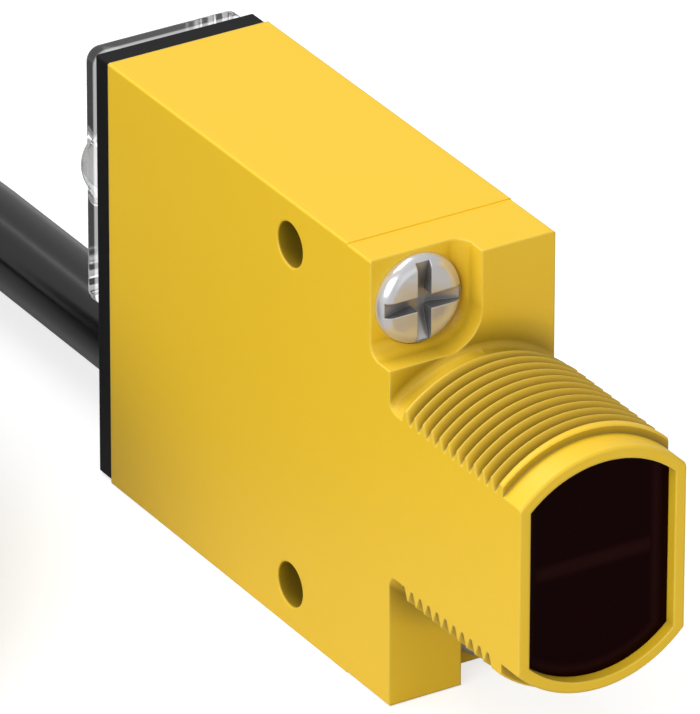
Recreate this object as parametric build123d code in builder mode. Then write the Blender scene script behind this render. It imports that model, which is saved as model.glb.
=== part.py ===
"""Diffuse photoelectric sensor with a threaded, flatted barrel.

Millimetres, +Z up. The lens looks along -Y and the cable leaves along +Y. The sensor stands on the
narrow underside of its housing. The origin is the middle of the base of its bounding box, cable
left out.
"""

import os
from math import cos, radians, sin, tan

from build123d import *

os.makedirs("parts", exist_ok=True)

# Outside of the body
body_w = 12.1
body_h = 30.7
barrel_len = 15.35
flange_len = 5.2
shell_len = 29.55
bezel_t = 1.8
cover_t = 1.8
dome_r = 2.55

# Stations along the sensor, from the barrel's tip to the dome on the rear cover
y_tip = -(barrel_len + flange_len + shell_len + bezel_t + cover_t + dome_r) / 2
y_face = y_tip + barrel_len
y_seam = y_face + flange_len
y_back = y_seam + shell_len
y_bezel = y_back + bezel_t
y_cover = y_bezel + cover_t
axis_z = body_h / 2
barrel_axis = Axis((0, 0, axis_z), (0, 1, 0))

# Clearances
seat_gap = 0.05
run_gap = 0.06

# Barrel thread, M18 x 1, cut away by the two flats
thread_r = 9.0
pitch = 1.0
thread_depth = 0.61
root_r = thread_r - thread_depth
tip_r = 8.43
collar_end = 13.28
groove_turns = 11
root_flat = 0.25 * pitch
relief_len = 1.45
flare_r = 1.2

# Front cover, its screw pockets and its screws
flange_drop = 0.07
edge_r = 0.15
pocket_room = 0.32
pocket_floor = 2.37
pocket_deep = 6.75
pocket_low = body_h - pocket_deep
pocket_corner_r = 2.6
pocket_fillet = 1.0
screw_inset = 3.36
screw_edge = 3.4
screw_x = body_w / 2 - screw_inset
screw_rise = axis_z - screw_edge
screw_r = 1.5
screw_len = 6.0
screw_head_r = 3.05
pocket_in = screw_head_r + pocket_room - screw_x
screw_head_h = 1.0
seat_y = y_face + pocket_floor
recess_half = 2.75
recess_w = 1.0
recess_deep = 0.95

# Light path
rim_wall = 0.74
window_r = tip_r - 0.8
window_w = body_w - 2 * rim_wall
window_recess = 0.78
window_t = 1.2
window_back = y_tip + window_recess + window_t
lens_curve = 6.5
bore_r = 7.0
bore_w = body_w - 2.7
throat_r = 6.4
throat_w = body_w - 4.3
lens_r = 6.35
lens_w = body_w - 3.8
web_t = 1.4
eye_rise = 3.3
eye_r = 1.5

# Housing
wall = 1.2
floor_t = 1.3
hole_r = 1.525
hole_edge = 3.15
hole_pitch = body_h - 2 * hole_edge
hole_back = 12.1
mouth_r = 0.12
boss_len = 14.75
boss_wall = 1.1
land_w = body_w - 3.7
land_h = 17.3
land_t = 1.5
seal_t = 1.0
seal_w = body_w - 2.4
seal_h = 18.7

# Rear controls
gain_drop = 5.1
gain_z = body_h - gain_drop
gain_shaft_r = 0.9
gain_head_r = 1.1
mode_shaft_r = 1.2
mode_head_r = 1.65
head_sink = 0.5
lamp_r = 1.25
lamp_inset = 2.95
lamp_x = -(body_w / 2 - lamp_inset)
lamp_z = gain_z - 4.5
mode_z = lamp_z - 4.9
cable_z = 5.7
cable_r = 2.95
relief_r = 3.5
bezel_inset = 0.14
cable_start = y_back - 1.9
cover_w = body_w - 0.6
cover_low = mode_z - 4.4
cover_top = body_h - 0.35
cover_h = cover_top - cover_low
cover_z = (cover_top + cover_low) / 2
cover_corner_r = 1.0
cover_inner_r = 0.3

# Cord beyond the sensor, coiled on the surface beside it
cord_z = cable_r + 0.05
layer = 2 * cable_r
coil_in = 20.5
coil_out = 45.4
coil_high = 3 * layer
coil_x = -59.0
coil_y = 37.5
coil_top = coil_high + cord_z - cable_r
tail_z = coil_top + cable_r + 0.05
tail_turn = 9.0
tail_rad = 35.8
lead_r = 0.55

# Boards, and the pins between them
board_room = 2.45
board_x = body_w / 2 - wall - board_room
board_t = 1.0
notch_z = hole_edge + hole_r + boss_wall + 0.375
board_low = floor_t + seat_gap
board_front = y_face + 8.0
board_step = y_face + boss_len + 0.2
board_rear = y_back - 2.8
rib_t = 0.8
rib_h = 1.2
pin_x = board_x - 1.1
pin_step = 1.5
pin_count = 4
pin_row_y = y_face + 9.8
lamp_leg_y = y_back - 4.6
leg_step = 1.27
controller_y = y_face + 17.75
controller_z = axis_z + 3.15
amplifier_y = y_face + 14.6
amplifier_z = axis_z - 5.4
regulator_y = y_face + 22.75
regulator_z = body_h - 9.3
transistor_y = y_face + 19.25
transistor_z = axis_z - 0.85
diode_y = y_face + 20.5
diode_z = 4.8
can_y = y_face + 18.2
can_z = body_h - 6.1
resistor_y = y_face + 25.75
resistor_z = axis_z - 4.35
ceramic_y = y_face + 24.75
ceramic_z = body_h - 5.3


def across(y):
    """Plane square to the sensor's length at y; an extrusion from it runs to the lens."""
    return Plane.XZ.offset(-y)


def flatted(radius, width):
    """Circle with two upright flats, the section of everything in the barrel."""
    Circle(radius)
    Rectangle(width, 2 * radius, mode=Mode.INTERSECT)


def on_coil(turn, radius, z):
    """Point of the cord in its coil, after so many turns from the coil's far side."""
    angle = radians(90 + 360 * turn)
    return (coil_x + radius * cos(angle), coil_y + radius * sin(angle), z)


def bend_radii(route):
    """Arc radius at each inner point of a cord's route: as large as its two runs allow."""
    radii = []
    for a, b, c in zip(route, route[1:], route[2:]):
        into = Vector(*b) - Vector(*a)
        out = Vector(*c) - Vector(*b)
        half_turn = radians(into.get_angle(out) / 2)
        radii.append(0.45 * min(into.length, out.length) / tan(half_turn))
    return radii


# Form that cuts one screw pocket: deeper than the face by pocket_floor, with a soft inner corner
with BuildPart() as pocket_form:
    with BuildSketch(across(y_face + pocket_floor)):
        with BuildLine():
            Polyline(
                (-body_w, pocket_low),
                (pocket_in, pocket_low),
                (pocket_in, body_h + 6),
                (-body_w, body_h + 6),
                close=True,
            )
        make_face()
        fillet(vertices().sort_by(Axis.X)[-2:].sort_by(Axis.Y)[0], pocket_corner_r)
    extrude(amount=pocket_floor + flare_r + 0.1)
    fillet(faces().sort_by(Axis.Y)[-1].edges(), pocket_fillet)

# Groove of the thread: one V swept up a helix, made upright and laid along the barrel afterwards
with BuildPart() as groove:
    with BuildLine():
        lead = Helix(pitch=pitch, height=groove_turns * pitch, radius=root_r)
    with BuildSketch(Plane(origin=lead @ 0, x_dir=(1, 0, 0), z_dir=lead % 0)):
        with BuildLine():
            Polyline(
                (0, -root_flat / 2),
                (1.2, -root_flat / 2 - 1.2 * tan(radians(30))),
                (1.2, root_flat / 2 + 1.2 * tan(radians(30))),
                (0, root_flat / 2),
                close=True,
            )
        make_face()
    sweep(path=lead, is_frenet=True)

# The groove starts on the left flat, in the relief behind the thread, and winds down and forward
groove_start = Plane(
    origin=(0, y_face - relief_len - 0.11, axis_z), x_dir=(-1, 0, 0), z_dir=(0, -1, 0)
)

# Front cover: a moulded flange and the threaded barrel in one piece
with BuildPart() as front_cover:
    with BuildSketch(Plane.YZ):
        with BuildLine():
            Polyline(
                (y_face - flare_r, axis_z + root_r),
                (y_face - relief_len, axis_z + root_r),
                (y_face - relief_len - 0.36, axis_z + thread_r),
                (y_face - collar_end + 0.12, axis_z + thread_r),
                (y_face - collar_end, axis_z + thread_r - 0.12),
                (y_face - collar_end, axis_z + tip_r),
                (y_tip + edge_r, axis_z + tip_r),
                (y_tip, axis_z + tip_r - edge_r),
                (y_tip, axis_z),
                (y_face + 0.5, axis_z),
                (y_face + 0.5, axis_z + root_r + flare_r),
                (y_face, axis_z + root_r + flare_r),
            )
            RadiusArc(
                (y_face, axis_z + root_r + flare_r),
                (y_face - flare_r, axis_z + root_r),
                -flare_r,
            )
        make_face()
    revolve(axis=barrel_axis)
    add(groove.part.moved(groove_start.location), mode=Mode.SUBTRACT)
    with BuildSketch(across(y_face + 1)):
        with Locations((0, axis_z)):
            Rectangle(body_w, body_h)
    extrude(amount=barrel_len + 2, mode=Mode.INTERSECT)
    with BuildSketch(across(y_seam)):
        with Locations((0, axis_z)):
            RectangleRounded(body_w, body_h - 2 * flange_drop, edge_r)
    extrude(amount=flange_len)
    add(pocket_form.part, mode=Mode.SUBTRACT)
    add(pocket_form.part.rotate(barrel_axis, 180), mode=Mode.SUBTRACT)
    with BuildSketch(across(window_back)):
        with Locations((0, axis_z)):
            flatted(window_r, window_w)
    extrude(amount=window_recess + window_t, mode=Mode.SUBTRACT)
    with BuildSketch(across(y_face + 0.3)):
        with Locations((0, axis_z)):
            flatted(bore_r, bore_w)
    extrude(amount=barrel_len, mode=Mode.SUBTRACT)
    with BuildSketch(across(y_seam)):
        with Locations((0, axis_z)):
            flatted(throat_r, throat_w)
    extrude(amount=flange_len, mode=Mode.SUBTRACT)
    with BuildSketch(across(y_seam)):
        for side in (-1, 1):
            with Locations((side * screw_x, axis_z - side * screw_rise)):
                Circle(screw_r + 0.1)
    extrude(amount=flange_len - pocket_floor, mode=Mode.SUBTRACT)
    with BuildSketch(across(seat_y)):
        for side in (-1, 1):
            with Locations((side * screw_x, axis_z - side * screw_rise)):
                Circle(screw_head_r + seat_gap)
    extrude(amount=pocket_floor, mode=Mode.SUBTRACT)
    with BuildSketch(across(y_seam)):
        with Locations((0, axis_z)):
            RectangleRounded(seal_w + seal_t, seal_h + seal_t, 1.8)
            RectangleRounded(seal_w - seal_t, seal_h - seal_t, 0.8, mode=Mode.SUBTRACT)
    extrude(amount=0.8, mode=Mode.SUBTRACT)

front_cover.part.label = "front_barrel_cover"
export_step(front_cover.part, "parts/front_barrel_cover.step")

# Main housing: one moulded box, open at the rear, with bosses for the screws and the cross holes
with BuildPart() as housing:
    with BuildSketch(across(y_back)):
        with Locations((0, axis_z)):
            RectangleRounded(body_w, body_h, edge_r)
    extrude(amount=shell_len)
    with BuildSketch(across(y_back)):
        with Locations((0, axis_z)):
            Rectangle(body_w - 2 * wall, body_h - 2 * floor_t)
    extrude(amount=y_back - y_face - boss_len, mode=Mode.SUBTRACT)
    with BuildSketch(across(y_face + boss_len)):
        with Locations((0, axis_z)):
            Rectangle(body_w - 2 * wall, hole_pitch - 2 * (hole_r + boss_wall))
    extrude(amount=boss_len - flange_len - land_t, mode=Mode.SUBTRACT)
    with BuildSketch(across(y_seam + land_t)):
        with Locations((0, axis_z)):
            RectangleRounded(land_w, land_h, 1.0)
    extrude(amount=land_t, mode=Mode.SUBTRACT)
    with BuildSketch(across(y_seam + screw_len + pocket_floor - flange_len + 0.2)):
        for side in (-1, 1):
            with Locations((side * screw_x, axis_z - side * screw_rise)):
                Circle(screw_r + 0.02)
    extrude(amount=screw_len + pocket_floor - flange_len + 0.2, mode=Mode.SUBTRACT)
    with BuildSketch(Plane.YZ.offset(-body_w / 2)):
        with Locations((y_face + hole_back, axis_z)):
            with GridLocations(1, hole_pitch, 1, 2):
                Circle(hole_r)
    extrude(amount=body_w, mode=Mode.SUBTRACT)
    mouths = edges().filter_by(GeomType.CIRCLE).filter_by(
        lambda e: abs(e.radius - hole_r) < 0.01
        and abs(abs(e.arc_center.X) - body_w / 2) < 0.01
    )
    fillet(mouths, mouth_r)
    with BuildSketch(across(y_back - 4.5)):
        for z in (floor_t + rib_h / 2, body_h - floor_t - rib_h / 2):
            for x in (board_x - rib_t / 2 - seat_gap, board_x + board_t + rib_t / 2 + seat_gap):
                with Locations((x, z)):
                    Rectangle(rib_t, rib_h)
    extrude(amount=y_back - 4.5 - y_face - boss_len)

housing.part.label = "main_housing"
export_step(housing.part, "parts/main_housing.step")

# Seal ring squeezed between the front cover and the housing
with BuildPart() as front_seal:
    with BuildSketch(across(y_seam)):
        with Locations((0, axis_z)):
            RectangleRounded(seal_w + seal_t - 0.1, seal_h + seal_t - 0.1, 1.75)
            RectangleRounded(seal_w - seal_t + 0.1, seal_h - seal_t + 0.1, 0.85, mode=Mode.SUBTRACT)
    extrude(amount=0.8)
    fillet(edges().group_by(Axis.Y)[0], 0.3)

front_seal.part.label = "front_seal"
export_step(front_seal.part, "parts/front_seal.step")

# Two pan head screws with a cross recess, one in each pocket
with BuildPart() as front_screws:
    for side in (-1, 1):
        x = side * screw_x
        z = axis_z - side * screw_rise
        with BuildSketch(Plane(origin=(x, 0, z), x_dir=(0, 1, 0), z_dir=(1, 0, 0))):
            with BuildLine():
                Polyline(
                    (seat_y, screw_head_r),
                    (seat_y, screw_r),
                    (seat_y + screw_len - 0.8, screw_r),
                    (seat_y + screw_len, 0.7),
                    (seat_y + screw_len, 0),
                    (seat_y - screw_head_h, 0),
                    (seat_y - screw_head_h, screw_head_r - 0.75),
                )
                ThreePointArc(
                    (seat_y - screw_head_h, screw_head_r - 0.75),
                    (seat_y - 0.72 * screw_head_h, screw_head_r - 0.26),
                    (seat_y, screw_head_r),
                )
            make_face()
        revolve(axis=Axis((x, 0, z), (0, 1, 0)))
        for turn in (0, 90):
            slot_plane = Plane(
                origin=(x, seat_y - screw_head_h, z),
                x_dir=(cos(radians(turn)), 0, sin(radians(turn))),
                z_dir=(-sin(radians(turn)), 0, cos(radians(turn))),
            )
            with BuildSketch(slot_plane):
                with BuildLine():
                    Polyline(
                        (-recess_half, -0.3),
                        (-recess_half, 0.34),
                        (-0.9, recess_deep),
                        (0.9, recess_deep),
                        (recess_half, 0.34),
                        (recess_half, -0.3),
                        close=True,
                    )
                make_face()
            extrude(amount=recess_w / 2, both=True, mode=Mode.SUBTRACT)

front_screws.part.label = "front_screws"
export_step(front_screws.part, "parts/front_screws.step")

# Upper lens field: a shallow dome on the back of the window, cut off at the dividing bar
with BuildPart() as lens_field:
    with BuildSketch(across(window_back + 1.6)):
        with Locations((0, axis_z)):
            flatted(lens_r, lens_w)
        with Locations((0, axis_z + web_t / 2 - 10)):
            Rectangle(20, 20, mode=Mode.SUBTRACT)
    extrude(amount=1.6)
    with Locations((0, window_back + 1.5 - lens_curve, axis_z + eye_rise)):
        Sphere(lens_curve, mode=Mode.INTERSECT)

# Lens window: one dark red moulding, flat outside, with a lens field above and below a dividing bar
with BuildPart() as window:
    with BuildSketch(across(window_back)):
        with Locations((0, axis_z)):
            flatted(window_r - seat_gap, window_w - 2 * seat_gap)
    extrude(amount=window_t)
    add(lens_field.part)
    add(lens_field.part.rotate(barrel_axis, 180))

window.part.label = "lens_window"
export_step(window.part, "parts/lens_window.step")

# Optics block: two light channels, one over the other, from the lens fields to the two eyes
with BuildPart() as optics:
    with BuildSketch(across(y_face + 0.25)):
        with Locations((0, axis_z)):
            flatted(bore_r - seat_gap, bore_w - 2 * seat_gap)
    extrude(amount=y_face + 0.25 - window_back - seat_gap)
    with BuildSketch(across(y_seam - seat_gap)):
        with Locations((0, axis_z)):
            flatted(throat_r - seat_gap, throat_w - 2 * seat_gap)
    extrude(amount=flange_len - seat_gap - 0.25)
    for side in (-1, 1):
        with BuildSketch(across(window_back + seat_gap)):
            with Locations((0, axis_z)):
                flatted(lens_r + 0.1, lens_w + 0.2)
            with Locations((0, axis_z - side * (10 - web_t / 2 + 0.1))):
                Rectangle(20, 20, mode=Mode.SUBTRACT)
        with BuildSketch(across(y_face + 1.0)):
            with Locations((0, axis_z + side * eye_rise)):
                Circle(eye_r + 0.1)
        loft(mode=Mode.SUBTRACT)
    with BuildSketch(across(y_seam)):
        with Locations((0, axis_z)):
            with GridLocations(1, 2 * eye_rise, 1, 2):
                Circle(eye_r + seat_gap)
    extrude(amount=flange_len, mode=Mode.SUBTRACT)
    with BuildSketch(across(y_seam)):
        with Locations((0, axis_z)):
            with GridLocations(1, 2 * eye_rise, 1, 2):
                Circle(eye_r + 0.4 + seat_gap)
    extrude(amount=1.1, mode=Mode.SUBTRACT)

optics.part.label = "optics_block"
export_step(optics.part, "parts/optics_block.step")

# Emitter below and receiver above: domed bodies with a rim and two wire legs
eyes = {"emitter_led": -1, "receiver_phototransistor": 1}
for name, side in eyes.items():
    z = axis_z + side * eye_rise
    rim_y = y_seam - 0.1
    with BuildPart() as eye:
        with BuildSketch(Plane(origin=(0, 0, z), x_dir=(0, 1, 0), z_dir=(1, 0, 0))):
            with BuildLine():
                Polyline(
                    (rim_y - 4.6 + eye_r, eye_r),
                    (rim_y - 1.0, eye_r),
                    (rim_y - 1.0, eye_r + 0.4),
                    (rim_y, eye_r + 0.4),
                    (rim_y, 0),
                    (rim_y - 4.6, 0),
                )
                RadiusArc((rim_y - 4.6, 0), (rim_y - 4.6 + eye_r, eye_r), eye_r)
            make_face()
        revolve(axis=Axis((0, 0, z), (0, 1, 0)))
        with BuildSketch(across(y_seam + 1.6)):
            with Locations((0, z)):
                with GridLocations(2.54, 1, 2, 1):
                    Rectangle(0.45, 0.45)
        extrude(amount=1.8)
    eye.part.label = name
    export_step(eye.part, f"parts/{name}.step")

# Sensor board: stands across the housing behind the optics block
with BuildPart() as sensor_board:
    with BuildSketch(across(y_seam + 1.1)):
        with Locations((0, axis_z)):
            RectangleRounded(land_w - 0.2, land_h - 0.3, 0.6)
            with GridLocations(2.54, 2 * eye_rise, 2, 2):
                Circle(0.36, mode=Mode.SUBTRACT)
            with Locations((pin_x, 0)):
                with GridLocations(1, pin_step, 1, pin_count):
                    Circle(0.33, mode=Mode.SUBTRACT)
    extrude(amount=1.0)

sensor_board.part.label = "sensor_board"
export_step(sensor_board.part, "parts/sensor_board.step")

# Main board: stands lengthwise in the housing's two slots
with BuildPart() as main_board:
    with BuildSketch(Plane.YZ.offset(board_x)):
        with BuildLine():
            Polyline(
                (board_front, notch_z),
                (board_step, notch_z),
                (board_step, board_low),
                (board_rear, board_low),
                (board_rear, body_h - board_low),
                (board_step, body_h - board_low),
                (board_step, body_h - notch_z),
                (board_front, body_h - notch_z),
                close=True,
            )
        make_face()
        with Locations((pin_row_y, axis_z)):
            with GridLocations(1, pin_step, 1, pin_count):
                Circle(0.33, mode=Mode.SUBTRACT)
        with Locations((lamp_leg_y, lamp_z)):
            with GridLocations(1, 2.54, 1, 2):
                Circle(0.33, mode=Mode.SUBTRACT)
    extrude(amount=board_t)

main_board.part.label = "main_board"
export_step(main_board.part, "parts/main_board.step")

# One angled pin from the sensor board to the main board, then the row and the strip that holds it
with BuildPart() as pin:
    with BuildSketch(Plane.XY.offset(axis_z)):
        with BuildLine():
            Polyline(
                (pin_x - 0.2, y_seam + 0.7),
                (pin_x + 0.2, y_seam + 0.7),
                (pin_x + 0.2, pin_row_y - 0.2),
                (board_x + board_t + 0.5, pin_row_y - 0.2),
                (board_x + board_t + 0.5, pin_row_y + 0.2),
                (pin_x - 0.2, pin_row_y + 0.2),
                close=True,
            )
        make_face()
    extrude(amount=0.2, both=True)

with BuildPart() as header_pins:
    for i in range(pin_count):
        shift = (i - (pin_count - 1) / 2) * pin_step
        add(pin.part.moved(Location((0, 0, shift))))

header_pins.part.label = "header_pins"
export_step(header_pins.part, "parts/header_pins.step")

with BuildPart() as header_strip:
    with BuildSketch(across(pin_row_y + 1.2)):
        with Locations((board_x - 1.0, axis_z)):
            Rectangle(2.0, pin_count * pin_step)
    extrude(amount=2.4)
    with BuildSketch(across(pin_row_y + 0.25)):
        with Locations((pin_x, axis_z)):
            with GridLocations(1, pin_step, 1, pin_count):
                Rectangle(0.5, 0.5)
    extrude(amount=2, mode=Mode.SUBTRACT)
    with BuildSketch(Plane.YZ.offset(pin_x - 0.25)):
        with Locations((pin_row_y, axis_z)):
            with GridLocations(1, pin_step, 1, pin_count):
                Rectangle(0.5, 0.5)
    extrude(amount=3, mode=Mode.SUBTRACT)

header_strip.part.label = "header_strip"
export_step(header_strip.part, "parts/header_strip.step")

# Flat-pack chips: a body with a row of gull legs along two sides, standing on a board face
chips = {
    "controller_chip": (board_x + board_t, 1, controller_y, controller_z, 8.6),
    "amplifier_chip": (board_x, -1, amplifier_y, amplifier_z, 4.9),
}
for name, (face_x, side, y, z, length) in chips.items():
    legs = round((length - 1) / leg_step) + 1
    with BuildPart() as chip:
        with BuildSketch(Plane.YZ.offset(face_x + side * 0.1)):
            with Locations((y, z)):
                Rectangle(3.9, length)
        extrude(amount=side * 1.15)
        chamfer(faces().sort_by(Axis.X)[-1 if side > 0 else 0].edges(), 0.15)
        with BuildSketch(Plane.YZ.offset(face_x)):
            with Locations((y, z)):
                with GridLocations(4.8, leg_step, 2, legs):
                    Rectangle(1.0, 0.42)
        extrude(amount=side * 0.5)
    chip.part.label = name
    export_step(chip.part, f"parts/{name}.step")

# Voltage regulator: power package with a tab and three legs
with BuildPart() as regulator:
    with BuildSketch(Plane.YZ.offset(board_x)):
        with Locations((regulator_y, regulator_z)):
            Rectangle(4.5, 2.5)
    extrude(amount=-1.5)
    chamfer(faces().sort_by(Axis.X)[0].edges(), 0.15)
    with BuildSketch(Plane.YZ.offset(board_x)):
        with Locations((regulator_y, regulator_z + 1.5)):
            Rectangle(1.8, 1.1)
        with Locations((regulator_y, regulator_z - 1.6)):
            with GridLocations(1.5, 1, 3, 1):
                Rectangle(0.45, 1.2)
    extrude(amount=-0.4)

regulator.part.label = "voltage_regulator"
export_step(regulator.part, "parts/voltage_regulator.step")

# Two output transistors and two protection diodes on the main board
with BuildPart() as transistors:
    with Locations((board_x - 0.5, transistor_y, transistor_z)):
        with GridLocations(1, 4.2, 1, 2):
            Box(1.0, 1.4, 2.9)
            with Locations((0.3, 0, 0)):
                Box(0.4, 2.4, 0.45)

transistors.part.label = "output_transistors"
export_step(transistors.part, "parts/output_transistors.step")

with BuildPart() as diodes:
    with BuildSketch(Plane.YZ.offset(board_x)):
        with Locations((diode_y, diode_z)):
            with GridLocations(3.6, 1, 2, 1):
                Rectangle(2.6, 4.2)
    extrude(amount=-2.0)
    chamfer(faces().filter_by(Axis.X).group_by(Axis.X)[0].edges(), 0.2)

diodes.part.label = "protection_diodes"
export_step(diodes.part, "parts/protection_diodes.step")

# Smoothing capacitor: a can on a square base
with BuildPart() as capacitor:
    with BuildSketch(Plane.YZ.offset(board_x)):
        with Locations((can_y, can_z)):
            Rectangle(4.3, 4.3)
    extrude(amount=-0.8)
    with BuildSketch(Plane.YZ.offset(board_x - 0.8)):
        with Locations((can_y, can_z)):
            Circle(2.0)
    extrude(amount=-4.6)
    fillet(faces().sort_by(Axis.X)[0].edges(), 0.3)

capacitor.part.label = "smoothing_capacitor"
export_step(capacitor.part, "parts/smoothing_capacitor.step")

# Chip resistors and capacitors, each kind one group
with BuildPart() as resistors:
    with BuildSketch(Plane.YZ.offset(board_x + board_t)):
        with Locations((resistor_y, resistor_z)):
            with GridLocations(2.4, 1.8, 2, 4):
                Rectangle(1.6, 0.8)
    extrude(amount=0.45)

resistors.part.label = "chip_resistors"
export_step(resistors.part, "parts/chip_resistors.step")

with BuildPart() as chip_capacitors:
    with BuildSketch(Plane.YZ.offset(board_x + board_t)):
        with Locations((ceramic_y, ceramic_z)):
            with GridLocations(2.6, 2.0, 3, 2):
                Rectangle(1.6, 0.8)
    extrude(amount=0.8)

chip_capacitors.part.label = "chip_capacitors"
export_step(chip_capacitors.part, "parts/chip_capacitors.step")

# Gain potentiometer and its slotted brass adjusting screw
with BuildPart() as gain_body:
    with BuildSketch(across(y_back - 0.3)):
        with Locations((0, gain_z)):
            RectangleRounded(2 * board_x - seat_gap, 5.2, 0.3)
    extrude(amount=6.3)
    with BuildSketch(across(y_back - 0.3)):
        with Locations((0, gain_z)):
            Circle(gain_shaft_r + run_gap)
    extrude(amount=3.0, mode=Mode.SUBTRACT)

gain_body.part.label = "gain_potentiometer"
export_step(gain_body.part, "parts/gain_potentiometer.step")

with BuildPart() as gain_screw:
    with BuildSketch(across(y_back - 0.15)):
        with Locations((0, gain_z)):
            Circle(gain_shaft_r)
    extrude(amount=3.0)
    with BuildSketch(across(y_bezel - head_sink)):
        with Locations((0, gain_z)):
            Circle(gain_head_r)
    extrude(amount=bezel_t - head_sink + 0.15)
    chamfer(faces().sort_by(Axis.Y)[-1].edges(), 0.15)
    with BuildSketch(across(y_bezel)):
        with Locations((0, gain_z)):
            Rectangle(3, 0.45)
    extrude(amount=head_sink + 0.6, mode=Mode.SUBTRACT)

gain_screw.part.label = "gain_screw"
export_step(gain_screw.part, "parts/gain_screw.step")

# Light/dark mode switch and its slotted rotor with a pointer
with BuildPart() as mode_body:
    with BuildSketch(across(y_back - 0.3)):
        with Locations((0, mode_z)):
            RectangleRounded(2 * board_x - seat_gap, 5.0, 0.3)
    extrude(amount=4.2)
    with BuildSketch(across(y_back - 0.3)):
        with Locations((0, mode_z)):
            Circle(mode_shaft_r + run_gap)
    extrude(amount=2.5, mode=Mode.SUBTRACT)

mode_body.part.label = "mode_switch"
export_step(mode_body.part, "parts/mode_switch.step")

with BuildPart() as mode_rotor:
    with BuildSketch(across(y_back - 0.15)):
        with Locations((0, mode_z)):
            Circle(mode_shaft_r)
    extrude(amount=2.5)
    with BuildSketch(across(y_bezel - head_sink)):
        with Locations((0, mode_z)):
            Circle(mode_head_r)
    extrude(amount=bezel_t - head_sink + 0.15)
    chamfer(faces().sort_by(Axis.Y)[-1].edges(), 0.15)
    with BuildSketch(across(y_bezel)):
        with Locations((0, mode_z)):
            Rectangle(2.2, 0.5)
            with Locations((1.0, 0)):
                Triangle(a=1.1, b=1.1, c=1.1, rotation=-90)
    extrude(amount=head_sink + 0.5, mode=Mode.SUBTRACT)

mode_rotor.part.label = "mode_rotor"
export_step(mode_rotor.part, "parts/mode_rotor.step")

# Red indicator lamp, its two legs bent over to the main board
with BuildPart() as lamp:
    with BuildSketch(Plane(origin=(lamp_x, 0, lamp_z), x_dir=(0, 1, 0), z_dir=(1, 0, 0))):
        with BuildLine():
            Polyline(
                (y_bezel + 0.75 - lamp_r, lamp_r),
                (y_back - 2.7, lamp_r),
                (y_back - 2.7, 0),
                (y_bezel + 0.75, 0),
            )
            RadiusArc((y_bezel + 0.75, 0), (y_bezel + 0.75 - lamp_r, lamp_r), -lamp_r)
        make_face()
    revolve(axis=Axis((lamp_x, 0, lamp_z), (0, 1, 0)))
    with BuildSketch(Plane.XY.offset(lamp_z)):
        with BuildLine():
            Polyline(
                (lamp_x - 0.2, y_back - 2.6),
                (lamp_x + 0.2, y_back - 2.6),
                (lamp_x + 0.2, lamp_leg_y + 0.2),
                (board_x + board_t + 0.5, lamp_leg_y + 0.2),
                (board_x + board_t + 0.5, lamp_leg_y - 0.2),
                (lamp_x - 0.2, lamp_leg_y - 0.2),
                close=True,
            )
        make_face()
    extrude(amount=1.47, both=True)
    with BuildSketch(Plane.XY.offset(lamp_z)):
        with Locations((0, y_back - 4.0)):
            Rectangle(9, 2.6)
    extrude(amount=1.07, both=True, mode=Mode.SUBTRACT)

lamp.part.label = "indicator_lamp"
export_step(lamp.part, "parts/indicator_lamp.step")

# Rear plate: closes the housing with a tongue and carries the controls, the cable and the cover
with BuildPart() as bezel:
    with BuildSketch(across(y_bezel)):
        with Locations((0, axis_z)):
            RectangleRounded(body_w - 2 * bezel_inset, body_h - 2 * bezel_inset, edge_r)
    extrude(amount=bezel_t)
    fillet(faces().sort_by(Axis.Y)[-1].edges(), 0.12)
    with BuildSketch(across(y_back)):
        with Locations((0, axis_z)):
            tongue_w = body_w - 2 * wall - 2 * seat_gap
            tongue_h = body_h - 2 * floor_t - 2 * seat_gap
            Rectangle(tongue_w, tongue_h)
            Rectangle(tongue_w - 1.8, tongue_h - 1.8, mode=Mode.SUBTRACT)
    extrude(amount=2.5)
    with BuildSketch(across(y_bezel)):
        with Locations((0, gain_z)):
            Circle(gain_head_r + 0.2)
        with Locations((0, mode_z)):
            Circle(mode_head_r + 0.2)
        with Locations((lamp_x, lamp_z)):
            Circle(lamp_r + seat_gap)
        with Locations((0, cable_z)):
            Circle(relief_r + seat_gap)
    extrude(amount=bezel_t + 2.5, mode=Mode.SUBTRACT)
    with BuildSketch(across(y_back)):
        with Locations((0, cable_z)):
            Circle(relief_r + 0.7 + seat_gap)
    extrude(amount=2.5, mode=Mode.SUBTRACT)
    with BuildSketch(across(y_bezel)):
        with Locations((0, cover_z)):
            RectangleRounded(cover_w - 1.0, cover_h - 1.0, cover_corner_r - 0.5)
            RectangleRounded(cover_w - 2.4, cover_h - 2.4, cover_inner_r, mode=Mode.SUBTRACT)
    extrude(amount=0.9, mode=Mode.SUBTRACT)

bezel.part.label = "rear_plate"
export_step(bezel.part, "parts/rear_plate.step")

# Soft gasket in the rear plate's groove, under the clear cover's lip
with BuildPart() as gasket:
    with BuildSketch(across(y_bezel - 0.45)):
        with Locations((0, cover_z)):
            RectangleRounded(cover_w - 1.06, cover_h - 1.06, cover_corner_r - 0.53)
            RectangleRounded(cover_w - 2.34, cover_h - 2.34, cover_inner_r, mode=Mode.SUBTRACT)
    extrude(amount=0.45)

gasket.part.label = "cover_gasket"
export_step(gasket.part, "parts/cover_gasket.step")

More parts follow.
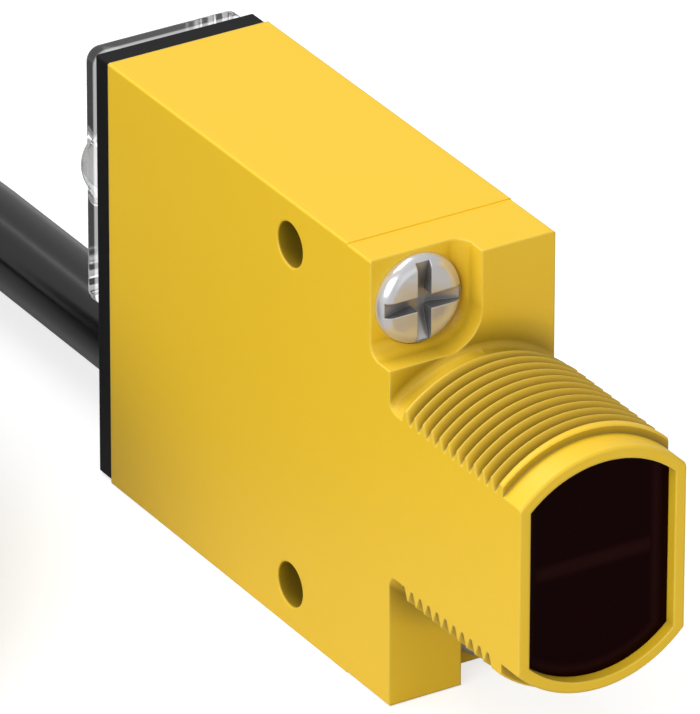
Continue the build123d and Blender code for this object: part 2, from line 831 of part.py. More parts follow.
# Clear cover: a shallow tray that pushes on over the controls, with a dome above the lamp
with BuildPart() as cover:
    with BuildSketch(across(y_cover)):
        with Locations((0, cover_z)):
            RectangleRounded(cover_w, cover_h, cover_corner_r)
    extrude(amount=cover_t)
    fillet(faces().sort_by(Axis.Y)[-1].edges(), 0.45)
    with BuildSketch(across(y_bezel)):
        with Locations((0, cover_z)):
            RectangleRounded(cover_w - 1.12, cover_h - 1.12, cover_corner_r - 0.56)
    extrude(amount=0.4)
    with BuildSketch(across(y_bezel + 0.9)):
        with Locations((0, cover_z)):
            RectangleRounded(cover_w - 2.28, cover_h - 2.28, cover_inner_r)
    extrude(amount=1.4, mode=Mode.SUBTRACT)
    with BuildSketch(Plane(origin=(lamp_x, 0, lamp_z), x_dir=(0, 1, 0), z_dir=(1, 0, 0))):
        with BuildLine():
            Line((y_cover + dome_r, 0), (y_cover - 0.5, 0))
            Line((y_cover - 0.5, 0), (y_cover - 0.5, dome_r))
            Line((y_cover - 0.5, dome_r), (y_cover, dome_r))
            RadiusArc((y_cover + dome_r, 0), (y_cover, dome_r), -dome_r)
        make_face()
    revolve(axis=Axis((lamp_x, 0, lamp_z), (0, 1, 0)))

cover.part.label = "clear_cover"
export_step(cover.part, "parts/clear_cover.step")

# Strain relief: snaps into the rear plate round the cable
with BuildPart() as relief:
    with BuildSketch(Plane(origin=(0, 0, cable_z), x_dir=(0, 1, 0), z_dir=(1, 0, 0))):
        with BuildLine():
            Polyline(
                (y_bezel + 1.75, cable_r + 0.02),
                (y_bezel + 1.75, relief_r + 0.1),
                (y_bezel, relief_r + 0.55),
                (y_bezel, relief_r),
                (y_back, relief_r),
                (y_back, relief_r + 0.6),
                (y_back - 1.5, relief_r + 0.6),
                (y_back - 1.5, cable_r + 0.02),
                close=True,
            )
        make_face()
    revolve(axis=Axis((0, 0, cable_z), (0, 1, 0)))

relief.part.label = "strain_relief"
export_step(relief.part, "parts/strain_relief.step")

# Four inner leads from the end of the cable to the main board
with BuildPart() as inner_leads:
    for x, z, y in (
        (1.0, 1.0, y_back - 4.4),
        (-1.0, 1.0, y_back - 6.2),
        (1.0, -1.0, y_back - 4.4),
        (-1.0, -1.0, y_back - 6.2),
    ):
        with BuildLine() as wire:
            FilletPolyline(
                (x, cable_start, cable_z + z),
                (x, y, cable_z + z),
                (board_x, y, cable_z + z),
                radius=0.9,
            )
        with BuildSketch(Plane(origin=wire.line @ 0, z_dir=wire.line % 0)):
            Circle(0.45)
        sweep(path=wire.line)

inner_leads.part.label = "inner_leads"
export_step(inner_leads.part, "parts/inner_leads.step")

# Most of the cable's length, coiled flat on the surface: the outer shape of the coil
with BuildPart() as coil:
    with BuildSketch(across(coil_y)):
        with Locations((coil_x + (coil_in + coil_out) / 2, coil_top - coil_high / 2)):
            RectangleRounded(coil_out - coil_in, coil_high, 2.5)
    revolve(axis=Axis((coil_x, coil_y, 0), (0, 0, 1)))

coil.part.label = "cable_coil"
export_step(coil.part, "parts/cable_coil.step")

# Cable: straight out of the rear, then round and down to the surface and into its coil
cable_route = [
    (0, cable_start, cable_z),
    (0, 52.1, cable_z),
    (-5.2, 64.6, 5.2),
    (-14.7, 74.1, 4.2),
    (-27.2, 79.3, 3.3),
    (-43.5, 80.2, cord_z),
]
cable_radii = bend_radii(cable_route)
with BuildPart() as cable:
    with BuildLine() as run:
        FilletPolyline(cable_route, radius=cable_radii)
    with BuildSketch(Plane(origin=run.line @ 0, z_dir=run.line % 0)):
        Circle(cable_r)
    sweep(path=run.line)
    cable_volume = cable.part.volume
    add(coil.part, mode=Mode.SUBTRACT)

cable.part.label = "cable"
export_step(cable.part, "parts/cable.step")

# Far end of the cable: up out of the coil's last turn and on over its top to the stripped end
tail_route = [
    on_coil(8.75, 31.6, tail_z - 3.9),
    on_coil(8.8125, 31.9, tail_z - 2.2),
    on_coil(8.875, 32.8, tail_z - 0.8),
    on_coil(8.9375, 34.2, tail_z - 0.1),
    on_coil(tail_turn, tail_rad, tail_z),
]
tail_radii = bend_radii(tail_route)
with BuildPart() as tail:
    with BuildLine() as run:
        FilletPolyline(tail_route, radius=tail_radii)
    with BuildSketch(Plane(origin=run.line @ 0, z_dir=run.line % 0)):
        Circle(cable_r)
    sweep(path=run.line)
    tail_volume = tail.part.volume
    split(bisect_by=Plane.XY.offset(coil_top), keep=Keep.TOP)

tail.part.label = "cable_tail"
export_step(tail.part, "parts/cable_tail.step")

# Four leads, fanned out of the stripped end over the top of the coil
lead_z = coil_top + 0.05 + lead_r
leads = {
    "brown_lead": (-1.0, 1.0, 33.6),
    "blue_lead": (-1.0, -1.0, 36.2),
    "black_lead": (1.0, -1.0, 38.8),
    "white_lead": (1.0, 1.0, 41.4),
}
stripped_end = Plane(origin=tail_route[-1], z_dir=Vector(*tail_route[-1]) - Vector(*tail_route[-2]))
for name, (out, rise, end_rad) in leads.items():
    drift = end_rad - tail_rad - out
    lead_route = [
        on_coil(tail_turn - 0.005, tail_rad + out, tail_z + rise),
        on_coil(tail_turn + 0.06, tail_rad + out + 0.25 * drift, (tail_z + rise + lead_z) / 2),
        on_coil(tail_turn + 0.12, tail_rad + out + 0.7 * drift, lead_z),
        on_coil(tail_turn + 0.175, end_rad, lead_z),
    ]
    with BuildPart() as lead_end:
        with BuildLine() as run:
            FilletPolyline(lead_route, radius=bend_radii(lead_route))
        with BuildSketch(Plane(origin=run.line @ 0, z_dir=run.line % 0)):
            Circle(lead_r)
        sweep(path=run.line)
        split(bisect_by=stripped_end, keep=Keep.TOP)
    lead_end.part.label = name
    export_step(lead_end.part, f"parts/{name}.step")

for name, radii, volume in (
    ("cable", cable_radii, cable_volume),
    ("cable tail", tail_radii, tail_volume),
):
    print(name, "bend radii", [round(r, 1) for r in radii], "volume", round(volume, 1))
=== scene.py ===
from math import cos, pi, radians, sin

import bmesh
import bpy
from mathutils import Matrix, Vector


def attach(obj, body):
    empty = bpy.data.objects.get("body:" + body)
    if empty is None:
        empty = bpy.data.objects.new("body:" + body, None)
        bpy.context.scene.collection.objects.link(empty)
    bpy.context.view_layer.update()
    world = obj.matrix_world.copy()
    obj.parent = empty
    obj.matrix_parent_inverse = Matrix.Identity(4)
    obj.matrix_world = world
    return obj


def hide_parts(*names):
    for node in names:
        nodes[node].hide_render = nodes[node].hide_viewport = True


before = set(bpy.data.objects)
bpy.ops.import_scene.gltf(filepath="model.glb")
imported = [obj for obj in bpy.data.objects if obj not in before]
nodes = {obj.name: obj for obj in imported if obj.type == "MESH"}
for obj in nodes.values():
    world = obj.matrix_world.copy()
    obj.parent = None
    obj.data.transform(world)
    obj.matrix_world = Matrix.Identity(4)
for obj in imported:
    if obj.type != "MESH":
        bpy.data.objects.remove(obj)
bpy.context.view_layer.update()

# Camera: a long lens, above and to the left of the barrel, at the photograph's angle. The shifts
# and the slight roll set the sensor in the picture as it stands in the photograph.
aim = Vector((0, -0.002775, 0.01535))
azimuth = radians(-31.399)
elevation = radians(27.697)
roll = radians(0.124)
distance = 0.73452
shift_right = -0.002443
shift_up = 0.003123
back = Vector((sin(azimuth) * cos(elevation), -cos(azimuth) * cos(elevation), sin(elevation)))
level = Vector((cos(azimuth), sin(azimuth), 0))
upright = back.cross(level)
right = cos(roll) * level + sin(roll) * upright
up = cos(roll) * upright - sin(roll) * level
camera = bpy.data.objects.new("camera", bpy.data.cameras.new("camera"))
bpy.context.scene.collection.objects.link(camera)
camera.data.lens = 583.25
camera.data.sensor_width = 36
camera.data.clip_start = 0.01
camera.data.clip_end = 20
camera.matrix_world = Matrix.Translation(
    aim + distance * back + shift_right * right + shift_up * up
) @ Matrix((right, up, back)).transposed().to_4x4()
bpy.context.scene.camera = camera

# Main housing: a long box moulded in yellow polyester, with a fine satin skin and a small radius
# on every outer edge. The two cross holes go right through it, and the front cover is screwed on.


def feed(tree, socket, value):
    """Gives a socket a plain number, or links it to what another node puts out."""
    if isinstance(value, float):
        socket.default_value = value
    else:
        tree.links.new(value, socket)


def counted(tree, kind, *values):
    """What one Math node puts out, with its numbers or links in order."""
    node = tree.nodes.new("ShaderNodeMath")
    node.operation = kind
    for socket, value in zip(node.inputs, values):
        feed(tree, socket, value)
    return node.outputs[0]


def ranged(tree, value, low, high, to_low, to_high):
    """A value carried over from one range to another."""
    node = tree.nodes.new("ShaderNodeMapRange")
    feed(tree, node.inputs["Value"], value)
    feed(tree, node.inputs["From Min"], low)
    feed(tree, node.inputs["From Max"], high)
    feed(tree, node.inputs["To Min"], to_low)
    feed(tree, node.inputs["To Max"], to_high)
    return node.outputs["Result"]


def parted(tree, vector):
    """The X, Y and Z of a vector."""
    node = tree.nodes.new("ShaderNodeSeparateXYZ")
    tree.links.new(vector, node.inputs["Vector"])
    return node.outputs


def found(tree, kind):
    """The first node of a kind in a material."""
    return next(node for node in tree.nodes if node.type == kind)


def group_socket(group, name, kind, way, value=None):
    """One named input or output of a node group, with its plain value."""
    socket = group.interface.new_socket(name=name, in_out=way, socket_type=kind)
    if value is not None:
        socket.default_value = value


# Moulded skin: a faint cloud of two tints, and a fine grain in the gloss and the relief
skin = bpy.data.node_groups.new("moulded skin", "ShaderNodeTree")
group_socket(skin, "Vector", "NodeSocketVector", "INPUT")
group_socket(skin, "Colour", "NodeSocketColor", "INPUT", (0.8, 0.8, 0.8, 1))
group_socket(skin, "Shade", "NodeSocketColor", "INPUT", (0.7, 0.7, 0.7, 1))
group_socket(skin, "Grain", "NodeSocketFloat", "INPUT", 9000)
group_socket(skin, "Smooth", "NodeSocketFloat", "INPUT", 0.35)
group_socket(skin, "Rough", "NodeSocketFloat", "INPUT", 0.45)
group_socket(skin, "Colour", "NodeSocketColor", "OUTPUT")
group_socket(skin, "Roughness", "NodeSocketFloat", "OUTPUT")
group_socket(skin, "Height", "NodeSocketFloat", "OUTPUT")
given = skin.nodes.new("NodeGroupInput")
taken = skin.nodes.new("NodeGroupOutput")
clouds = skin.nodes.new("ShaderNodeTexNoise")
clouds.inputs["Scale"].default_value = 160
clouds.inputs["Detail"].default_value = 3
grain = skin.nodes.new("ShaderNodeTexNoise")
grain.inputs["Detail"].default_value = 2
tint = skin.nodes.new("ShaderNodeMix")
tint.data_type = "RGBA"
sheen = skin.nodes.new("ShaderNodeMapRange")
skin.links.new(given.outputs["Vector"], clouds.inputs["Vector"])
skin.links.new(given.outputs["Vector"], grain.inputs["Vector"])
skin.links.new(given.outputs["Grain"], grain.inputs["Scale"])
skin.links.new(clouds.outputs["Fac"], tint.inputs["Factor"])
skin.links.new(given.outputs["Shade"], tint.inputs["A"])
skin.links.new(given.outputs["Colour"], tint.inputs["B"])
skin.links.new(grain.outputs["Fac"], sheen.inputs["Value"])
skin.links.new(given.outputs["Smooth"], sheen.inputs["To Min"])
skin.links.new(given.outputs["Rough"], sheen.inputs["To Max"])
skin.links.new(tint.outputs["Result"], taken.inputs["Colour"])
skin.links.new(sheen.outputs["Result"], taken.inputs["Roughness"])
skin.links.new(grain.outputs["Fac"], taken.inputs["Height"])

# Edge mask: 1 where the softened normal has turned away from the face's own
edges = bpy.data.node_groups.new("edge mask", "ShaderNodeTree")
group_socket(edges, "Soft", "NodeSocketVector", "INPUT")
group_socket(edges, "Flat", "NodeSocketVector", "INPUT")
group_socket(edges, "Start", "NodeSocketFloat", "INPUT", 0.99)
group_socket(edges, "Full", "NodeSocketFloat", "INPUT", 0.86)
group_socket(edges, "Mask", "NodeSocketFloat", "OUTPUT")
given = edges.nodes.new("NodeGroupInput")
taken = edges.nodes.new("NodeGroupOutput")
alike = edges.nodes.new("ShaderNodeVectorMath")
alike.operation = "DOT_PRODUCT"
edges.links.new(given.outputs["Soft"], alike.inputs[0])
edges.links.new(given.outputs["Flat"], alike.inputs[1])
mask = ranged(edges, alike.outputs["Value"], given.outputs["Start"], given.outputs["Full"], 0.0, 1.0)
edges.links.new(mask, taken.inputs["Mask"])

# Recess shade: painted shade, a colour made darker where little of the open is in reach
recess_reach = 0.004
shut_in = 0.42
in_the_open = 0.88
recess = bpy.data.node_groups.new("recess shade", "ShaderNodeTree")
group_socket(recess, "Colour", "NodeSocketColor", "INPUT", (0.8, 0.8, 0.8, 1))
group_socket(recess, "Deep", "NodeSocketFloat", "INPUT", 0.5)
group_socket(recess, "Colour", "NodeSocketColor", "OUTPUT")
given = recess.nodes.new("NodeGroupInput")
taken = recess.nodes.new("NodeGroupOutput")
hollow = recess.nodes.new("ShaderNodeAmbientOcclusion")
hollow.samples = 8
hollow.only_local = True
hollow.inputs["Distance"].default_value = recess_reach
darker = recess.nodes.new("ShaderNodeVectorMath")
darker.operation = "SCALE"
painted_shade = ranged(recess, hollow.outputs["AO"], shut_in, in_the_open, given.outputs["Deep"], 1.0)
recess.links.new(given.outputs["Colour"], darker.inputs[0])
recess.links.new(painted_shade, darker.inputs["Scale"])
recess.links.new(darker.outputs["Vector"], taken.inputs["Colour"])


def edge_mask(tree, start, full):
    """The mask of a material's edges, for one that has a softened normal."""
    flat = tree.nodes.new("ShaderNodeNewGeometry")
    node = tree.nodes.new("ShaderNodeGroup")
    node.node_tree = edges
    node.inputs["Start"].default_value = start
    node.inputs["Full"].default_value = full
    tree.links.new(found(tree, "BEVEL").outputs["Normal"], node.inputs["Soft"])
    tree.links.new(flat.outputs["Normal"], node.inputs["Flat"])
    return node.outputs["Mask"]


def moulded(
    name, colour, shade, smooth=0.35, rough=0.45, bump=0.04, radius=0.0, edge=None, deep=1.0, **sockets
):
    """A material with the moulded skin, and any other socket of its shader by name.

    radius softens its edges, edge is the lighter colour painted on them as a painted highlight, and
    deep is how dark its recesses are painted, as painted shade."""
    made = bpy.data.materials.new(name)
    made.use_nodes = True
    tree = made.node_tree
    shader = tree.nodes["Principled BSDF"]
    place = tree.nodes.new("ShaderNodeTexCoord")
    look = tree.nodes.new("ShaderNodeGroup")
    look.node_tree = skin
    look.inputs["Colour"].default_value = (*colour, 1)
    look.inputs["Shade"].default_value = (*shade, 1)
    look.inputs["Smooth"].default_value = smooth
    look.inputs["Rough"].default_value = rough
    relief = tree.nodes.new("ShaderNodeBump")
    relief.inputs["Strength"].default_value = bump
    relief.inputs["Distance"].default_value = 0.0001
    tree.links.new(place.outputs["Object"], look.inputs["Vector"])
    tree.links.new(look.outputs["Roughness"], shader.inputs["Roughness"])
    tree.links.new(look.outputs["Height"], relief.inputs["Height"])
    tone = look.outputs["Colour"]
    if radius:
        soft = tree.nodes.new("ShaderNodeBevel")
        soft.samples = 8
        soft.inputs["Radius"].default_value = radius
        tree.links.new(soft.outputs["Normal"], relief.inputs["Normal"])
    # Painted highlight: the edges take the lighter edge colour, as if they caught the light
    if edge:
        painted_edge_highlight = tree.nodes.new("ShaderNodeMix")
        painted_edge_highlight.data_type = "RGBA"
        painted_edge_highlight.inputs["B"].default_value = (*edge, 1)
        tree.links.new(edge_mask(tree, start=0.99, full=0.86), painted_edge_highlight.inputs["Factor"])
        tree.links.new(tone, painted_edge_highlight.inputs["A"])
        tone = painted_edge_highlight.outputs["Result"]
    # Painted shade: the colour is made darker in the recesses, where shade falls
    if deep < 1:
        shaded = tree.nodes.new("ShaderNodeGroup")
        shaded.node_tree = recess
        shaded.inputs["Deep"].default_value = deep
        tree.links.new(tone, shaded.inputs["Colour"])
        tone = shaded.outputs["Colour"]
    tree.links.new(tone, shader.inputs["Base Color"])
    tree.links.new(relief.outputs["Normal"], shader.inputs["Normal"])
    for socket, value in sockets.items():
        shader.inputs[socket.replace("_", " ")].default_value = value
    return made


def smoothed(node, material, body="sensor", reshape=None):
    """Stands for a CAD node: its merged copy, smooth except at edges sharper than 25 degrees."""
    mesh = nodes[node].data.copy()
    mesh.name = node + "_skin"
    shell = bmesh.new()
    shell.from_mesh(mesh)
    bmesh.ops.remove_doubles(shell, verts=shell.verts, dist=2e-6)
    bmesh.ops.dissolve_degenerate(shell, dist=1e-6, edges=shell.edges)
    if reshape:
        reshape(shell)
    shell.to_mesh(mesh)
    shell.free()
    mesh.attributes.remove(mesh.attributes["custom_normal"])
    mesh.shade_smooth()
    mesh.set_sharp_from_angle(angle=radians(25))
    mesh.materials.clear()
    mesh.materials.append(material)
    piece = bpy.data.objects.new(node + "_skin", mesh)
    bpy.context.scene.collection.objects.link(piece)
    even = piece.modifiers.new("flat faces", "WEIGHTED_NORMAL")
    even.keep_sharp = True
    even.weight = 100
    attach(piece, body)
    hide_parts(node)


# The edges are softened everywhere but at the seam with the front cover, which stays a fine line
seam_y = -0.007575
seam_reach = 0.0006
edge_radius = 0.00022
# The yellow has painted shade in its pockets and recesses and a painted highlight along its edges
yellow = moulded(
    "yellow polyester", (0.96, 0.615, 0.03), (0.94, 0.6, 0.027), smooth=0.32, rough=0.42,
    radius=edge_radius, edge=(1.0, 0.72, 0.1), deep=0.2, Specular_IOR_Level=0.4,
)
tree = yellow.node_tree
along = parted(tree, found(tree, "TEX_COORD").outputs["Object"])["Y"]
at_seam = counted(tree, "COMPARE", along, seam_y, seam_reach)
feed(tree, found(tree, "BEVEL").inputs["Radius"], ranged(tree, at_seam, 0.0, 1.0, edge_radius, 0.0))
smoothed("main_housing", yellow)

# Front cover: a flange and the threaded, flatted barrel in one yellow moulding, held on by the two
# front screws. Where the barrel meets the flange, behind the thread, it has a small hollow curve.
y_face = -0.012775
axis_z = 0.01535
root_r = 0.00839
flare_r = 0.0012
hollow_r = 0.00055


def hollow_flare(shell):
    """Turns the swelling behind the thread into the hollow that it is moulded with."""
    bmesh.ops.dissolve_limit(
        shell, angle_limit=radians(0.05), use_dissolve_boundaries=False, verts=shell.verts,
        edges=shell.edges, delimit={"NORMAL"},
    )
    near = 0.001
    off_arc = 0.03
    for vert in shell.verts:
        forward = (y_face - vert.co.y) / flare_r
        outward = (Vector((vert.co.x, vert.co.z - axis_z)).length - root_r) / flare_r
        on_arc = abs(forward * forward + outward * outward - 1) < off_arc
        if forward > near and -near < outward < 1 + near and on_arc:
            rest = 1 - min(1, max(0, outward) * flare_r / hollow_r)
            vert.co.y = y_face - hollow_r * (1 - (1 - rest * rest) ** 0.5)
    bmesh.ops.triangulate(shell, faces=[face for face in shell.faces if len(face.verts) > 4])


smoothed("front_barrel_cover", yellow, reshape=hollow_flare)

# Front seal: a soft ring of moulded black rubber, squeezed in its groove between the front cover
# and the housing.


def dress(node, material):
    """Gives a CAD node its finish."""
    nodes[node].data.materials.clear()
    nodes[node].data.materials.append(material)


seal_black = moulded("black seal rubber", (0.02, 0.02, 0.02), (0.015, 0.015, 0.015), rough=0.7)
dress("front_seal", seal_black)

# Front screws: two turned stainless pan heads with a cross recess, one in each pocket. They hold
# the front cover on the housing.
# The screws have painted shade in their cross recesses
stainless = moulded(
    "turned stainless", (0.76, 0.76, 0.78), (0.7, 0.7, 0.72), smooth=0.16, rough=0.3, radius=0.00012,
    deep=0.25, Metallic=0.55,
)
smoothed("front_screws", stainless)

# Lens window: one polished moulding in a red so deep that it looks black, set in the barrel's rim.
# The frame of its two lens fields and the bar between them show through it as faint lines.
window_x = -0.00025
window_z = 0.0158
half_width = 0.0042
round_r = 0.0070
frame_gap = 0.0004
line_fade = 2200.0
bar_strength = 1.5
window_red = moulded(
    "deep red acrylic", (0.009, 0.0004, 0.0004), (0.007, 0.0003, 0.0003), smooth=0.03, rough=0.06,
    Specular_IOR_Level=0.03,
)
tree = window_red.node_tree
centred = tree.nodes.new("ShaderNodeMapping")
centred.inputs["Location"].default_value = (-window_x, 0, -window_z)
tree.links.new(found(tree, "TEX_COORD").outputs["Object"], centred.inputs["Vector"])
apart = parted(tree, centred.outputs["Vector"])
across = counted(tree, "ABSOLUTE", apart["X"])
high = counted(tree, "ABSOLUTE", apart["Z"])
squares = counted(tree, "ADD", counted(tree, "POWER", across, 2.0), counted(tree, "POWER", high, 2.0))
past_side = counted(tree, "SUBTRACT", across, half_width)
past_round = counted(tree, "SUBTRACT", counted(tree, "SQRT", squares), round_r)
past = counted(tree, "MAXIMUM", past_side, past_round)
off_frame = counted(tree, "ABSOLUTE", counted(tree, "SUBTRACT", past, frame_gap))
ring = counted(tree, "SUBTRACT", 1.0, counted(tree, "MULTIPLY", off_frame, line_fade))
bar = counted(tree, "SUBTRACT", bar_strength, counted(tree, "MULTIPLY", high, line_fade))
bar = counted(tree, "MULTIPLY", bar, counted(tree, "LESS_THAN", past, 0.0))
lines = counted(tree, "MAXIMUM", counted(tree, "MAXIMUM", ring, bar), 0.0)
lines = counted(tree, "MINIMUM", lines, 1.0)
web = tree.nodes.new("ShaderNodeMix")
web.data_type = "RGBA"
web.inputs["B"].default_value = (0.016, 0.0032, 0.0026, 1)
tree.links.new(lines, web.inputs["Factor"])
tree.links.new(found(tree, "GROUP").outputs["Colour"], web.inputs["A"])
tree.links.new(web.outputs["Result"], tree.nodes["Principled BSDF"].inputs["Base Color"])
smoothed("lens_window", window_red)

# Optics block and header strip: dull black mouldings that let no light through. The block sits in
# the barrel behind the window, and the strip holds the pins in line.
dull_black = moulded("dull black moulding", (0.02, 0.02, 0.02), (0.012, 0.012, 0.012), rough=0.7)
dress("optics_block", dull_black)
dress("header_strip", dull_black)

# Emitter, receiver and lamp: domed bodies cast in clear epoxy, tinted red or smoked, with their
# legs soldered to the boards.
red_epoxy = moulded("red epoxy", (0.6, 0.02, 0.015), (0.5, 0.015, 0.01), smooth=0.08, rough=0.15)
dress("emitter_led", red_epoxy)
dress("indicator_lamp", red_epoxy)
smoked_epoxy = moulded(
    "smoked epoxy", (0.03, 0.025, 0.025), (0.02, 0.015, 0.015), smooth=0.08, rough=0.15
)
dress("receiver_phototransistor", smoked_epoxy)

# Boards and pins: woven glass under green solder mask. A row of tinned brass pins, bent square,
# joins the sensor board to the main board.
board_green = moulded(
    "green solder mask", (0.01, 0.12, 0.03), (0.008, 0.09, 0.02), smooth=0.2, rough=0.35
)
dress("sensor_board", board_green)
dress("main_board", board_green)
tinned = moulded("tinned pins", (0.7, 0.69, 0.65), (0.6, 0.6, 0.57), smooth=0.25, rough=0.4, Metallic=1.0)
dress("header_pins", tinned)

# Parts on the main board: packages moulded in black epoxy, a drawn aluminium can and fired ceramic
# chips, all soldered to its two faces.
package_black = moulded("chip package", (0.02, 0.02, 0.02), (0.014, 0.014, 0.014), rough=0.55)
for name in (
    "controller_chip", "amplifier_chip", "voltage_regulator", "output_transistors", "protection_diodes",
    "chip_resistors",
):
    dress(name, package_black)
drawn_can = moulded("drawn can", (0.7, 0.7, 0.7), (0.6, 0.6, 0.6), smooth=0.2, rough=0.3, Metallic=1.0)
dress("smoothing_capacitor", drawn_can)
ceramic = moulded("tan ceramic", (0.3, 0.2, 0.1), (0.25, 0.16, 0.08), rough=0.5)
dress("chip_capacitors", ceramic)

# Controls: a trimmer and a rotary switch in blue moulded bodies. The gain screw is turned brass and
# the mode rotor a white moulding, each with a slot for a screwdriver.
trimmer_blue = moulded("blue trimmer body", (0.01, 0.06, 0.3), (0.008, 0.05, 0.25))
dress("gain_potentiometer", trimmer_blue)
dress("mode_switch", trimmer_blue)
gain_brass = moulded(
    "turned brass", (0.65, 0.42, 0.12), (0.55, 0.36, 0.1), smooth=0.2, rough=0.35, Metallic=1.0
)
dress("gain_screw", gain_brass)
rotor_white = moulded("white rotor", (0.8, 0.8, 0.76), (0.7, 0.7, 0.66))
dress("mode_rotor", rotor_white)

# Rear plate and cover gasket: the plate is a black polyester moulding that closes the housing. The
# gasket is a soft black ring in the plate's groove, under the clear cover.
plate_black = moulded(
    "black polyester", (0.011, 0.011, 0.012), (0.009, 0.009, 0.01), smooth=0.35, rough=0.5,
    Specular_IOR_Level=0.1,
)
smoothed("rear_plate", plate_black)
dress("cover_gasket", seal_black)

# Clear cover: a shallow tray moulded in clear polycarbonate, with a dome over the lamp, pushed on
# over the controls. Painted light makes its side faces glow faintly, with a white line along its
# foot, and makes its edges lighter.
foot_y = 0.0243
foot_end = 0.0245
painted_foot_glow = 0.4
painted_side_glow = 0.05
painted_rim_glow = 0.12
clear = moulded(
    "clear polycarbonate", (0.82, 0.83, 0.83), (0.79, 0.8, 0.8), smooth=0.02, rough=0.05, bump=0.01,
    radius=0.0002, Transmission_Weight=1.0, IOR=1.5, Emission_Strength=1.0,
)
tree = clear.node_tree
# Painted light: a faint glow on the side faces, a brighter line at the foot and light rims
flat = tree.nodes.new("ShaderNodeNewGeometry")
facing = counted(tree, "ABSOLUTE", parted(tree, flat.outputs["Normal"])["Y"])
along = parted(tree, found(tree, "TEX_COORD").outputs["Object"])["Y"]
sides = ranged(tree, facing, low=0.5, high=0.9, to_low=1.0, to_high=0.0)
foot = ranged(tree, along, foot_y, foot_end, painted_foot_glow, 0.0)
rim = counted(tree, "MULTIPLY", edge_mask(tree, start=0.98, full=0.85), painted_rim_glow)
glow = counted(tree, "MULTIPLY", sides, counted(tree, "ADD", foot, painted_side_glow))
glow = counted(tree, "ADD", glow, rim)
tree.links.new(glow, tree.nodes["Principled BSDF"].inputs["Emission Color"])
smoothed("clear_cover", clear, "clear_cover")

# Strain relief and leads: a soft black sleeve that snaps into the rear plate round the cable. The
# inner leads run on to the main board, and the four cores at the far end have coloured insulation.
jacket = moulded(
    "black cable jacket", (0.005, 0.005, 0.005), (0.0035, 0.0035, 0.0035), smooth=0.14, rough=0.24,
    Specular_IOR_Level=0.7,
)
smoothed("strain_relief", jacket)
dress("inner_leads", jacket)
lead_shade = 0.85
for name, colour in (
    ("brown_lead", (0.08, 0.03, 0.012)),
    ("blue_lead", (0.012, 0.05, 0.35)),
    ("black_lead", (0.012, 0.012, 0.012)),
    ("white_lead", (0.75, 0.75, 0.73)),
):
    dress(name, moulded(name.replace("_", " "), colour, tuple(lead_shade * part for part in colour)))

# Cable: two metres of round four-core cable in an extruded black jacket. It leaves the rear plate
# straight back, sinks to the surface and lies in three layers of a round coil beside the sensor.
cable_d = 0.0059
coil_x = -0.059
coil_y = 0.0375
low = 0.003
middle = low + cable_d
top = low + 2 * cable_d
turn_step = 0.00593
first_r = 0.0418
second_r = 0.0254
third_r = 0.0403

# Turns from the coil's start at which each climb and each upper layer begins
first_climb = 3
second_layer = 3.7
second_climb = 6.46
third_layer = 7.16

# A curve runs inside its points, so the coil's points stand further out by this factor
coil_points = 138
points_per_turn = 16
stand_out = 1 / (0.75 + 0.25 * cos(2 * pi / points_per_turn))


def stepped(at, places, values):
    """The value at a place between the listed ones, in straight steps."""
    for start, end, first, last in zip(places, places[1:], values, values[1:]):
        if at <= end:
            return first + (last - first) * (at - start) / (end - start)
    return values[-1]


def on_coil(turns, radius, height):
    """A point of the coil after so many turns from its far side."""
    return coil_x - radius * sin(2 * pi * turns), coil_y + radius * cos(2 * pi * turns), height


# How the cable rises and moves sideways over the 0.7 turns from one layer to the next
rise_turns = [0, 0.06, 0.15, 0.25, 0.35, 0.45, 0.55, 0.65, 0.7]
risen = [0, 0.00025, 0.0019, 0.0033, 0.0043, 0.005, 0.0055, 0.00585, cable_d]
shift_turns = [0, 0.1, 0.25, 0.4, 0.55, 0.7]
inner_r = [0.02401, 0.0235, 0.0235, 0.0239, 0.0246, second_r]
outer_r = [0.04177, 0.0423, 0.0425, 0.0421, 0.0413, third_r]
route = [
    (0, 0.020075, 0.0057), (0, 0.0420, 0.0057), (0, 0.0550, 0.0057), (-0.0050, 0.0665, 0.0052),
    (-0.0142, 0.0752, 0.0042), (-0.0270, 0.0798, 0.0033), (-0.0435, 0.0802, low),
]
for step in range(coil_points):
    turns = step / points_per_turn
    if turns < first_climb:
        radius = first_r - turn_step * turns
        height = low
    elif turns < second_layer:
        radius = stepped(turns - first_climb, shift_turns, inner_r)
        height = low + stepped(turns - first_climb, rise_turns, risen)
    elif turns < second_climb:
        radius = second_r + turn_step * (turns - second_layer)
        height = middle
    elif turns < third_layer:
        radius = stepped(turns - second_climb, shift_turns, outer_r)
        height = middle + stepped(turns - second_climb, rise_turns, risen)
    else:
        radius = third_r - turn_step * (turns - third_layer)
        height = top
    route.append(on_coil(turns, radius * stand_out, height))

# The end climbs on top of the coil, where the leads fan out
for turns, radius, rise in (
    (8.625, 0.0320, 0.00005), (8.6875, 0.0317, 0.0006), (8.75, 0.0316, 0.002), (8.8125, 0.0319, 0.0037),
    (8.875, 0.0328, 0.0051), (8.9375, 0.0342, 0.0058), (9.0, 0.0358, 0.0059),
):
    route.append(on_coil(turns, radius, top + rise))
line = bpy.data.curves.new("cable_cord", "CURVE")
line.dimensions = "3D"
strand = line.splines.new("NURBS")
strand.points.add(len(route) - 1)
for point, place in zip(strand.points, route):
    point.co = (*place, 1)
strand.order_u = 3
strand.use_endpoint_u = True
strand.resolution_u = 8
line.bevel_depth = cable_d / 2
line.bevel_resolution = 5
line.use_fill_caps = True
line.materials.append(jacket)
cable = bpy.data.objects.new("cable_cord", line)
bpy.context.scene.collection.objects.link(cable)
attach(cable, "sensor")
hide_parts("cable", "cable_coil", "cable_tail")

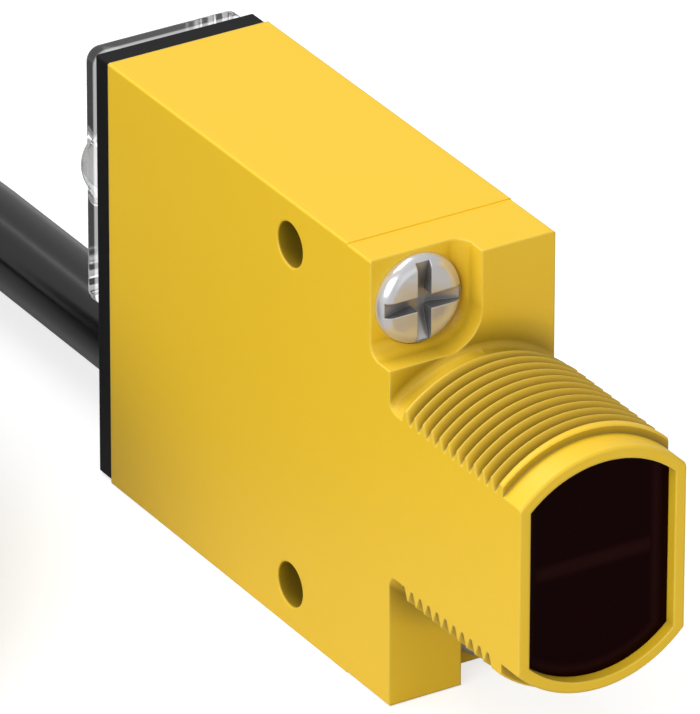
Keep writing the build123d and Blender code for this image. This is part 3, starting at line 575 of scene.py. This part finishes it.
# Floor: a plain pale sheet that takes the sensor's shadow. It glows for the camera alone, so that
# it shows white and puts no more light on the sensor.
floor = bpy.data.meshes.new("floor")
plan = bmesh.new()
bmesh.ops.create_grid(plan, x_segments=1, y_segments=1, size=3)
plan.to_mesh(floor)
plan.free()
ground = bpy.data.objects.new("floor", floor)
bpy.context.scene.collection.objects.link(ground)
paper = bpy.data.materials.new("white paper")
paper.use_nodes = True
tree = paper.node_tree
shader = tree.nodes["Principled BSDF"]
shader.inputs["Base Color"].default_value = (0.5, 0.5, 0.5, 1)
shader.inputs["Roughness"].default_value = 0.9
shader.inputs["Specular IOR Level"].default_value = 0.0
path = tree.nodes.new("ShaderNodeLightPath")
tree.links.new(path.outputs["Is Camera Ray"], shader.inputs["Emission Strength"])
shader.inputs["Emission Color"].default_value = (0.7, 0.7, 0.7, 1)
floor.materials.append(paper)

# Backdrop: an even pale surround, like the card round a product on a table. The camera and the
# clear cover see it white, and it lights the sensor at half that strength.
world = bpy.data.worlds.new("world")
bpy.context.scene.world = world
world.use_nodes = True
tree = world.node_tree
sky = tree.nodes["Background"]
sky.inputs["Color"].default_value = (1, 1, 1, 1)
sky.inputs["Strength"].default_value = 0.5
seen = tree.nodes.new("ShaderNodeBackground")
seen.inputs["Strength"].default_value = 1.0
path = tree.nodes.new("ShaderNodeLightPath")
either = counted(tree, "MAXIMUM", path.outputs["Is Camera Ray"], path.outputs["Is Transmission Ray"])
blend = tree.nodes.new("ShaderNodeMixShader")
tree.links.new(either, blend.inputs["Fac"])
tree.links.new(sky.outputs["Background"], blend.inputs[1])
tree.links.new(seen.outputs["Background"], blend.inputs[2])
tree.links.new(blend.outputs["Shader"], tree.nodes["World Output"].inputs["Surface"])

# Lights: three soft studio panels turned to the sensor, one above and behind it, one on its left
# and a weak one in front.
lit_spot = Vector((0, 0, 0.015))
for name, place, size, power in (
    ("top light", (-0.3, 0.45, 1.05), 0.9, 7.2),
    ("left light", (-0.95, -0.5, 0.5), 0.8, 6.8),
    ("front light", (0.15, -1.0, 0.3), 0.8, 0.8),
):
    lamp = bpy.data.lights.new(name, "AREA")
    lamp.size = size
    lamp.energy = power
    holder = bpy.data.objects.new(name, lamp)
    holder.location = place
    holder.rotation_mode = "QUATERNION"
    holder.rotation_quaternion = (Vector(place) - lit_spot).to_track_quat("Z", "Y")
    bpy.context.scene.collection.objects.link(holder)

# Plain colours in the picture.
bpy.context.scene.view_settings.view_transform = "Standard"
